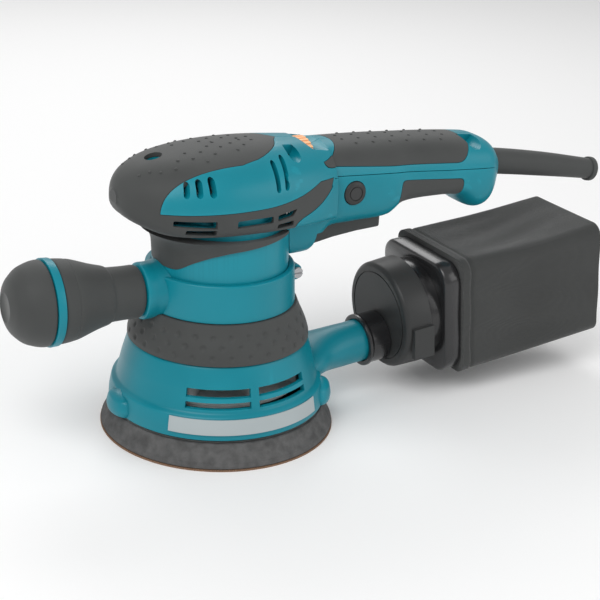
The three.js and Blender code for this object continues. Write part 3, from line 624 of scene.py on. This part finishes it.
def domes(points, radius, height, sides=14):
    """Small raised dots in one mesh, each sitting on a surface point."""
    mesh_points, faces = [], []
    for centre, normal in points:
        turn = normal.to_track_quat("Z", "Y").to_matrix()
        base = len(mesh_points)
        rows = [(radius, -0.6), (radius, 0.0), (radius * 0.86, height * 0.5), (radius * 0.5, height * 0.87)]
        for r, z in rows:
            for i in range(sides):
                angle = 2 * math.pi * i / sides
                mesh_points.append(centre + turn @ Vector((r * math.cos(angle), r * math.sin(angle), z)))
        mesh_points.append(centre + turn @ Vector((0, 0, height)))
        mesh_points.append(centre + turn @ Vector((0, 0, -0.6)))
        top, bottom = base + len(rows) * sides, base + len(rows) * sides + 1
        for i in range(sides):
            after = (i + 1) % sides
            for row in range(len(rows) - 1):
                low, high = base + row * sides, base + (row + 1) * sides
                faces.append((low + i, low + after, high + after, high + i))
            last = base + (len(rows) - 1) * sides
            faces.append((last + i, last + after, top))
            faces.append((base + after, base + i, bottom))
    return solid("dots", mesh_points, faces)


def openings_in_head():
    """The cuts that go through both the shell and the palm grip: neck, palm hole, saddle, vent slots."""
    saddle = bar_y(10, -16, 16, 48.4, 155.6)
    neck_top = disc(33.4, 100, 121.3)
    palm_hole = disc(4.4, 130, 160, 48, Matrix.Translation((-38, 0, 0)))
    return [neck_top, palm_hole, saddle, *band_slots()]


def rear_notch():
    """A finger notch at the handle's rear, cut from the shell and the top grip."""
    return bar_y(5, -40, -3, 144, 143, 40)


def make_grips():
    """The soft pads, each a patch of the body's outer skin."""
    skin = cut(body(0), body(GRIP_DEPTH))
    palm = cut(common(copy_of(skin), palm_zone(0)), *openings_in_head())
    top_grip = cut(common(copy_of(skin), top_grip_side(0)), dial_island(0), rear_notch())
    lower_grip = common(skin, lower_grip_side(0))
    return palm, top_grip, lower_grip


def grip_pockets():
    """The shell's recesses, a gap wider and deeper than the grips in them."""
    bed = body(GRIP_DEPTH + GAP)
    zones = [palm_zone(GAP), cut(top_grip_side(GAP), dial_island(GAP)), lower_grip_side(GAP)]
    pockets = [cut(zone, copy_of(bed)) for zone in zones]
    bpy.data.objects.remove(bed)
    return pockets


def shell_holes():
    """Everything that is cut from the shell alone."""
    dial_well = bar_x(16.4, 39.1, 46.4, WHEEL_HEIGHT)
    neck_hole = disc(NECK_RADIUS + GAP, 60, NECK_TOP + GAP, 96)
    step = block(43.6, 95, -FAR, FAR, 80, 104.6)
    trigger_slot = block(47.4, 89.1, -11.3, 11.3, 90, 113)
    guard_holes = [bar_x(7.8, 150, 170, 124.6), bar_x(10.9, 150.7, 155.3, 125)]
    lock_hole = bar_y(6.5, -30, -10, *LOCK_PLACE)
    pin_hole = bar_y(1.9, -14.3, 14.3, *TRIGGER_PIN, 24)
    screw_holes = [bar_y(1.8, -15, 30, x, z, 20) for x, z in SCREW_PLACES]
    screw_holes += [bar_y(3.7, 17, FAR, x, z, 32) for x, z in SCREW_PLACES]
    front_notch = bar_y(3.5, -40, -11.5, 29.2, 147.8, 40)
    return [dial_well, neck_hole, step, trigger_slot, *guard_holes, lock_hole, pin_hole, *screw_holes,
            front_notch, rear_notch()]


def make_shells():
    """The two halves of the casing, parted down the middle."""
    shell = cut(body(0), body(WALL), *panel_slots())
    posts = [common(bar_y(4, -FAR, FAR, x, z, 24), body(0)) for x, z in SCREW_PLACES]
    parting = prism([(50, 134.1), (87, 132.1), (124, 129.4), (160, 127.4), (160, 127.8), (124, 129.8),
                     (87, 132.5), (50, 134.5)], -FAR, -20.6)
    shell = cut(joined(shell, *posts), *grip_pockets(), *openings_in_head(), *shell_holes(), parting)
    left = cut(copy_of(shell), block(-100, 200, -GAP / 2, 100, 50, 200))
    right = cut(shell, block(-100, 200, -100, GAP / 2, 50, 200))
    return left, right


def add_casing():
    palm, top_grip, lower_grip = make_grips()
    left, right = make_shells()
    finished(left, "shell_left", "housing", "teal_plastic", "handle_left")
    finished(right, "shell_right", "housing", "teal_plastic", "handle_right")
    bpy.context.view_layer.update()
    palm_spots = [surface_under(palm, x, side * y) for x, y in PALM_DOTS for side in (-1, 1)]
    top_spots = [surface_under(top_grip, x, y) for x in (66.5, 76.5, 87, 97.5, 108, 119.5, 129.5)
                 for y in (3.5, -3.5)]
    top_spots += [surface_under(top_grip, x, y) for x in (71.5, 81.8, 92.2, 102.8, 113.8, 124.5)
                  for y in (-9.8, 9.8)]
    for name, spots in (("palm_dots", palm_spots), ("handle_dots", top_spots)):
        dots = domes([spot for spot in spots if spot], 0.85, 0.55)
        finished(dots, name, "housing", "soft_rubber")
    finished(palm, "palm_pad", "housing", "soft_rubber", "palm_grip")
    finished(top_grip, "handle_pad_top", "housing", "soft_rubber", "handle_top_grip")
    finished(lower_grip, "handle_pad_lower", "housing", "soft_rubber", "handle_lower_grip")


# ---------- pad and skirt ----------
def add_pad():
    under = Matrix.Translation((0, -ORBIT, 0))
    holes = []
    for i in range(8):
        angle = (i + 0.5) * math.pi / 4
        place = Matrix.Translation((32.5 * math.cos(angle), 32.5 * math.sin(angle) - ORBIT, 0))
        holes.append(disc(5, -1, 13.3, 32, place))
    grit = turned("grit", [(0, 0), (61.5, 0), (61.5, 0.9), (0, 0.9)], 128, under)
    edge = [(9.5, 1.2), (61.3, 1.2), (61.0, 2.8), (60.3, 3.6), (60.3, 4.1), (55.8, 12.3), (49.3, 12.3),
            (49.3, 8.4), (9.5, 8.4)]
    foam = turned("foam", softened(edge, 0.5), 128, under)
    finished(cut(grit, *[copy_of(hole) for hole in holes]), "grit_disc", "pad", "abrasive", "abrasive_disc")
    finished(cut(foam, *holes), "foam_pad", "pad", "pad_foam", "pad_foam")


def duct(inset, start, end):
    """The dust duct: a flat throat at the skirt that narrows to a round pipe."""
    pipe = [(80, DUCT_RADIUS), (100, DUCT_RADIUS)]
    half_width = curve_through([(40, 24), (54, 20), (62, 15.6), (72, 12.8)] + pipe)
    half_height = curve_through([(40, 9), (54, 9.6), (62, 10.6), (72, 11.6)] + pipe)
    angles = [2 * math.pi * j / 64 for j in range(64)]
    rings = []
    for i in range(25):
        x = start + (end - start) * i / 24
        raised = 1.2 * (1 - min((x - 40) / 40, 1))
        axis = BAG_Z - SOCKET_DROP - (BAG_X - x) * math.tan(DUCT_TILT) + raised
        wide, high = half_width(x) - inset, half_height(x) - inset
        rings.append([(x, wide * math.cos(a), axis + high * math.sin(a)) for a in angles])
    return lofted("duct", rings)


def sector(inner, outer, low, high, start, end, steps, slope=0.0):
    """A curved block about the spindle between two angles, leaning by slope for each millimetre of height."""
    rings = []
    for i in range(steps + 1):
        angle = math.radians(start + (end - start) * i / steps)
        ring = []
        for radius, z in [(inner, low), (outer, low), (outer, high), (inner, high)]:
            r = radius + slope * (z - low)
            ring.append((r * math.cos(angle), r * math.sin(angle), z))
        rings.append(ring)
    return lofted("sector", rings)


def add_skirt():
    outer = [(56.7, 13.8), (56.4, 19), (55.2, 25.4), (52.7, 26.8), (50, 38), (46.9, 48.2), (46.2, 49.3)]
    inner = [(54.1, 13.8), (53.6, 21), (50.4, 26), (48, 37), (44.4, 46.8)]
    wall = turned("wall", softened(outer + [(37, 49.5), (37, 46.8)] + inner[::-1], 0.9), 160)
    inside = turned("tool", [(0, 10), (54.1, 10)] + inner + [(0, 46.8)], 160)
    shape = softened([(0, 13.9), (5.4, 13.9), (6, 17.5), (5, 22.6), (0, 26)], 1.2, is_open=True)
    bumpers = []
    for degrees in (180, -31, 31):
        around = Matrix.Rotation(math.radians(degrees), 4, "Z")
        place = around @ Matrix.Translation((54.8, 0, 0)) @ Matrix.Diagonal((1, 2, 1, 1))
        bumpers.append(turned("bumper", shape, 32, place))
    vents = []
    for low, high in ((34.2, 38.6), (28.6, 32)):
        for start, end in ((-134, -97), (-92, -57), (57, 92), (97, 134)):
            vents.append(sector(44, 62, low, high, start, end, 16))
    skirt = cut(joined(wall, duct(0, 44, 97.8), *bumpers), inside, duct(2.4, 43, 99), *vents)
    finished(skirt, "skirt", "housing", "teal_plastic", "dust_skirt")
    label = sector(56.95, 57.35, 17.2, 25, -141, -54, 60, -0.16)
    finished(label, "label_strip", "housing", "grey_label", "label_plate")


def add_fan():
    hub = turned("hub", [(4.3, 20), (4.3, 43.5), (15, 43.5), (17.5, 27.5), (44, 27.5), (44, 25.9),
                         (17.5, 25.9), (17.5, 15.2), (10, 15.2), (10, 20)], 96)
    turns = [Matrix.Rotation(math.pi * i / 4, 4, "Z") for i in range(8)]
    vanes = [block(15, 43.5, -0.9, 0.9, 27, 40.5, turn) for turn in turns]
    seat = disc(14.3, 10, 25, 64, Matrix.Translation((0, -ORBIT, 0)))
    finished(cut(joined(hub, *vanes), seat), "fan", "spindle", "pale_plastic", "dust_fan")


# ---------- neck, band and knob ----------
def dented(radius, height, angle):
    """Three staggered rows of small round dents in the soft cone."""
    step = 2 * math.pi / 30
    depth = 0.0
    for row, z in enumerate((53.6, 58.4, 63.0)):
        shift = 0.5 * (row % 2)
        nearest = round(angle / step - shift) * step + shift * step
        away = math.hypot((angle - nearest) * radius, height - z)
        if radius > 40.5 and away < 1.6:
            depth = max(depth, 0.8 * (1 - (away / 1.6) ** 2))
    return radius - depth, height


def flared(radius, height, angle):
    """The neck widens under the nose in a smooth hollow curve."""
    if radius < 34:
        return radius, height
    rise = max(height - 99, 0) / 11.5
    return radius + 5.5 * rise ** 3 * max(-math.cos(angle), 0), height


def add_cone():
    outside = curve_through([(49.8, 47.2), (53, 46.9), (58.5, 45), (63.6, 42.6), (68.9, 40.4)])
    heights = [49.8 + 19.1 * i / 62 for i in range(63)]
    profile = [(outside(z), z) for z in heights] + [(37.6, 68.9), (39.6, 63), (42, 57.4), (43.8, 49.8)]
    finished(turned("cone", profile, 420, shape=dented), "cone_grip", "housing", "soft_rubber", "grip_cone")


def neck_front(e):
    """The side of the neck that the soft pad covers, moved by e past the pad's edge."""
    corners = [(-60, 92.4), (-33, 92.6), (-31, 93.6), (-27, 98.2), (-20, 102.6), (-11, 105.4), (8, 107.4)]
    sweep = softened([(x, z - e) for x, z in corners], 3, is_open=True)
    return prism(sweep + [(24 + e, 109 - e), (24 + e, 130), (-60, 130)])


def add_neck():
    housing = turned("housing", [(31.5, 69.2), (NECK_RADIUS, 69.2), (NECK_RADIUS, NECK_TOP), (33, NECK_TOP),
                                 (33, 121), (31, 121), (31, 108), (31.5, 106)], 128)
    ring = turned("ring", [(33.1, 80), (50, 80), (50, 120), (33.1, 120)], 128)
    finished(cut(housing, common(ring, neck_front(GAP))), "motor_case", "housing", "teal_plastic",
             "motor_housing")
    steps = [k / 24 for k in range(25)]
    profile = [(33.4, 88)] + [(35 + 1.8 * t ** 2, 88 + 22.5 * t) for t in steps] + [(33.4, 110.5)]
    grip = common(turned("grip", profile, 160, shape=flared), neck_front(0))
    finished(grip, "neck_pad", "housing", "soft_rubber", "neck_grip")


def add_band():
    inner = NECK_RADIUS + GAP
    hoop = [(inner, 69.3), (39.3, 69.3), (38.3, 88), (37.7, 88.6), (inner, 88.6)]
    band = turned("band", softened(hoop, 0.5), 160)
    collar = [(0, 30), (17.2, 30), (15.4, 35.5), (14.5, 40), (14.5, 45.6), (0, 45.6)]
    sleeve = turned("sleeve", softened(collar, 1.5, is_open=True), 96, KNOB_PLACE)
    ear = softened([(36.5, 74.5), (42.4, 74.5), (44.4, 76.5), (44.4, 81), (42.4, 83), (36.5, 83)], 0.8)
    ears = [prism(ear, -7, -1.4), prism(ear, 1.4, 7)]
    clear = turned("clear", [(0, 48), (47.6, 48), (47.3, 53), (45.4, 58.5), (43, 63.6), (40.8, 69.2),
                             (0, 69.2)], 128)
    band = cut(joined(band, sleeve, *ears), disc(inner, 60, 100, 160), disc(4.3, 20, 50, 48, KNOB_PLACE),
               block(30, 50, -1.4, 1.4, 60, 100), bar_y(2, -10, 10, 41.2, 78.8, 32), clear)
    finished(band, "band", "housing", "teal_plastic", "clamp_band")
    place = Matrix.Translation((41.2, 0, 78.8)) @ ALONG_Y
    bolt = softened([(0, -9.4), (3, -9.4), (3, -7.3), (1.7, -7.3), (1.7, 9), (0, 9)], 0.3, is_open=True)
    screw = cut(turned("screw", bolt, 40, place), block(38, 44.5, -10, -8.6, 78.4, 79.2))
    finished(screw, "band_bolt", "housing", "zinc_screw", "band_screw")


def add_knob():
    outside = [(4.3, 45.9), (13.6, 45.9), (13.4, 53), (13.7, 62.6), (14.7, 63.2), (16.4, 70), (19.8, 80),
               (20.3, 82.6), (20.1, 83), (20.5, 83.4), (21.2, 90.4), (18.5, 90.4), (18.5, 95.1), (21.5, 95.1),
               (21, 100), (18.6, 106.6), (13.4, 112), (7.4, 114.4), (6.8, 113.8)]
    profile = softened(outside, 2.6, 4, is_open=True) + [(0.01, 113.8), (0.01, 71), (4.3, 71)]
    finished(turned("knob", profile, 128, KNOB_PLACE), "knob", "front_knob", "soft_rubber", "knob_grip",
             angle=50)
    hoop = softened([(18.8, 90.7), (21.7, 90.7), (21.9, 94.8), (18.8, 94.8)], 0.4)
    ring = turned("ring", hoop, 128, KNOB_PLACE)
    finished(ring, "knob_band", "front_knob", "teal_plastic", "knob_ring")


# ---------- dust bag ----------
def rounded_box(x, half_y, half_z, corner):
    """A rounded rectangle across the bag at x, as (x, y, z) points."""
    arc_steps, side_steps = 12, 38
    signs = [(1, 1), (-1, 1), (-1, -1), (1, -1)]
    centres = [Vector((sy * (half_y - corner), sz * (half_z - corner))) for sy, sz in signs]
    points = []
    for k, centre in enumerate(centres):
        for i in range(arc_steps + 1):
            angle = math.pi / 2 * (k + i / arc_steps)
            points.append((x, centre.x + corner * math.cos(angle), centre.y + corner * math.sin(angle)))
        angle = math.pi / 2 * (k + 1)
        out = Vector((corner * math.cos(angle), corner * math.sin(angle)))
        for i in range(1, side_steps):
            along = centre.lerp(centres[(k + 1) % 4], i / side_steps) + out
            points.append((x, along.x, along.y))
    return points


def add_bag():
    drop = BAG_PLACE @ Matrix.Translation((0, 0, -SOCKET_DROP)) @ ALONG_X
    straight = BAG_PLACE @ ALONG_X
    bore = DUCT_RADIUS + GAP
    collar = softened([(bore, -14), (14.6, -14), (14.8, -12.4), (13.9, -11.2), (14, -0.3), (bore, -0.3)], 0.4)
    finished(turned("collar", collar, 96, drop), "socket", "bag_coupling", "gloss_black", "bag_socket")
    drum = softened([(0, 0), (28.2, 0), (30, 1.8), (30.6, 16), (0, 16)], 0.8, is_open=True)
    cap = joined(turned("cap", drum, 128, straight), block(3.5, 16, -32.2, -28.5, -16, 2, BAG_PLACE))
    face_ring = turned("groove", [(24.6, -0.5), (25.4, -0.5), (25.4, 0.5), (24.6, 0.5)], 96, straight)
    cap = cut(cap, disc(28, 2.6, 40, 96, straight), disc(bore, -5, 8, 64, drop), face_ring)
    finished(cap, "cap", "bag_coupling", "black_plastic", "bag_cap")
    neck = turned("neck", softened([(22, 16.3), (27.5, 16.3), (27.5, 26), (22, 26)], 0.5), 96, straight)
    steps = [(24, 1.5), (24.5, 0.5), (25.5, 0), (33.4, 0), (34.2, 0.5), (34.6, 1.5)]
    plate = lofted("plate", [rounded_box(x, 31 - e, 32.4 - e, 11 - e) for x, e in steps], BAG_PLACE)
    frame_piece = cut(joined(neck, plate), disc(22, 10, 40, 96, straight))
    finished(frame_piece, "bag_rim", "bag", "gloss_black", "bag_frame", angle=40)
    add_cloth()


def fold_height(y, z, t):
    """How far the folds lift the cloth at (y, z), t running from the hem to the rear seam."""
    belly = math.sin(math.pi * t)
    fold = 0.8 * math.sin(0.21 * z + 5.2 * t + 1.1) * math.sin(3.1 * t + 0.4)
    fold += 0.55 * math.sin(0.33 * y - 7.0 * t) * belly
    fold += 0.9 * math.exp(-((z - 22 + 26 * t) / 4.5) ** 2) * belly
    fold -= 1.0 * math.exp(-((z + 6 + 20 * t) / 5.5) ** 2) * belly
    return fold


def draped(x, y, z, t):
    """A point of the boxy sleeve after its sides are drawn in, folded and left to sag."""
    belly = math.sin(math.pi * t)
    lift = -1.6 * belly + fold_height(y, z, t) * 0.8
    sag = 0.8 * belly * (0.4 if z > 0 else 1)
    if abs(y) > abs(z) * 0.94:
        scale = min(max((33.8 - abs(z)) / 14, 0), 1)
        return x, y + math.copysign(1, y) * lift * scale, z - sag
    scale = min(max((32.2 - abs(y)) / 14, 0), 1)
    return x, y, z + math.copysign(1, z) * lift * scale - sag


def add_cloth():
    """The cloth: a boxy sleeve with a sewn hem and a nearly flat rear panel."""
    start, end = 34.9, 130.4
    rings = [rounded_box(start + 0.1, 20, 22, 4), rounded_box(start, 30.5, 32.2, 7)]
    for i in range(121):
        t = i / 120
        hem = 0.5 if t < 0.055 else 0.0
        swell = hem - 0.6 * math.exp(-((t - 0.065) / 0.012) ** 2)
        ring = rounded_box(start + (end - start) * t, 32 + swell, 33.6 + swell, 7)
        rings.append([draped(*point, t) for point in ring])
    for inset, back in ((0.6, 0.5), (2.2, 0.9), (6, 0.9), (16, 0.3), (26, 0.0)):
        ring = rounded_box(end + back - 0.5, 32.2 - inset, 33.8 - inset, max(7 - inset, 0.6))
        rings.append([(x, y, z - 0.2) for x, y, z in ring])
    cloth = lofted("cloth", rings, BAG_PLACE)
    finished(cloth, "bag_cloth", "bag", "bag_cloth", "dust_bag", angle=60)


# ---------- controls and cord guard ----------
def add_controls():
    paddle = softened([(48, 94.8), (60, 97), (74, 98.6), (88.5, 99.4), (88.5, 109), (62, 111.6), (50, 111.6),
                       (48, 109)], 1.2)
    trigger = cut(prism(paddle, -10.9, 10.9), bar_y(1.9, -20, 20, *TRIGGER_PIN, 32))
    finished(trigger, "squeeze_trigger", "trigger", "soft_rubber", "trigger", bevel=0.6)
    outline = softened([(0, -25.4), (4.6, -25.4), (6.2, -24.6), (6.2, -14), (0, -14)], 0.4, is_open=True)
    place = Matrix.Translation((LOCK_PLACE[0], 0, LOCK_PLACE[1])) @ ALONG_Y
    groove = turned("groove", [(3.3, -26), (3.9, -26), (3.9, -25), (3.3, -25)], 48, place)
    button = cut(turned("button", outline, 64, place), groove)
    finished(button, "lock_knob", "lock_button", "black_plastic", "lock_button")
    wheel = bar_x(16, 39.5, 46, WHEEL_HEIGHT, 144)
    notches = []
    for i in range(36):
        turn = Matrix.Translation((0, 0, WHEEL_HEIGHT)) @ Matrix.Rotation(math.pi * i / 18, 4, "X")
        notches.append(block(38, 47, -0.6, 0.6, 15.4, 17, turn))
    wheel = cut(wheel, *notches, bar_x(2.4, 30, 60, WHEEL_HEIGHT, 32))
    finished(wheel, "speed_knob", "speed_wheel", "amber_plastic", "speed_dial")


guard_height = curve_through([(149, 125.2), (160, 124.9), (171, 124.1), (203, 119.2), (233, 113.8),
                              (241, 112.2)])
guard_radius = curve_through([(150, 7.3), (171, 7.3), (203, 6.9), (233, 6.1), (242, 6)])


def guard_ring(x, radius, count=48):
    """A ring of points square to the guard's falling centre line."""
    slope = -0.1
    if GUARD_START + 0.5 < x < GUARD_START + GUARD_LENGTH - 0.5:
        slope = math.atan2(guard_height(x + 0.5) - guard_height(x - 0.5), 1.0)
    centre = Vector((x, 0, guard_height(x)))
    up = Vector((-math.sin(slope), 0, math.cos(slope)))
    across = Vector((0, 1, 0))
    angles = [2 * math.pi * j / count for j in range(count)]
    return [centre + up * (radius * math.sin(a)) + across * (radius * math.cos(a)) for a in angles]


def add_guard():
    shares = [0.02 + 0.965 * i / 48 for i in range(49)]
    places = [GUARD_START + GUARD_LENGTH * share for share in shares]
    sleeve = lofted("sleeve", [guard_ring(x, guard_radius(x)) for x in places])
    places = [GUARD_START + GUARD_LENGTH * i / 48 for i in range(49)]
    bore = lofted("bore", [guard_ring(x, 3.9) for x in places])
    rim_place = Matrix.Translation((237.6, 0, 112.8)) @ Matrix.Rotation(0.17, 4, "Y") @ ALONG_X
    rim = turned("rim", softened([(0, 0), (7, 0), (7, 3.4), (0, 3.4)], 0.8, is_open=True), 64, rim_place)
    guard = cut(joined(sleeve, bar_x(10.5, 151, 155, 125), rim), bore)
    finished(guard, "guard", "housing", "soft_rubber", "cord_guard")


add_camera()
add_studio()
add_casing()
add_pad()
add_skirt()
add_fan()
add_cone()
add_neck()
add_band()
add_knob()
add_bag()
add_controls()
add_guard()
slots = {subpart["node"]: subpart["material_slot"] for subpart in frame["record"]["subparts"]}
for node, piece in frame["nodes"].items():
    piece.data.materials.clear()
    piece.data.materials.append(FINISHES[slots[node]])
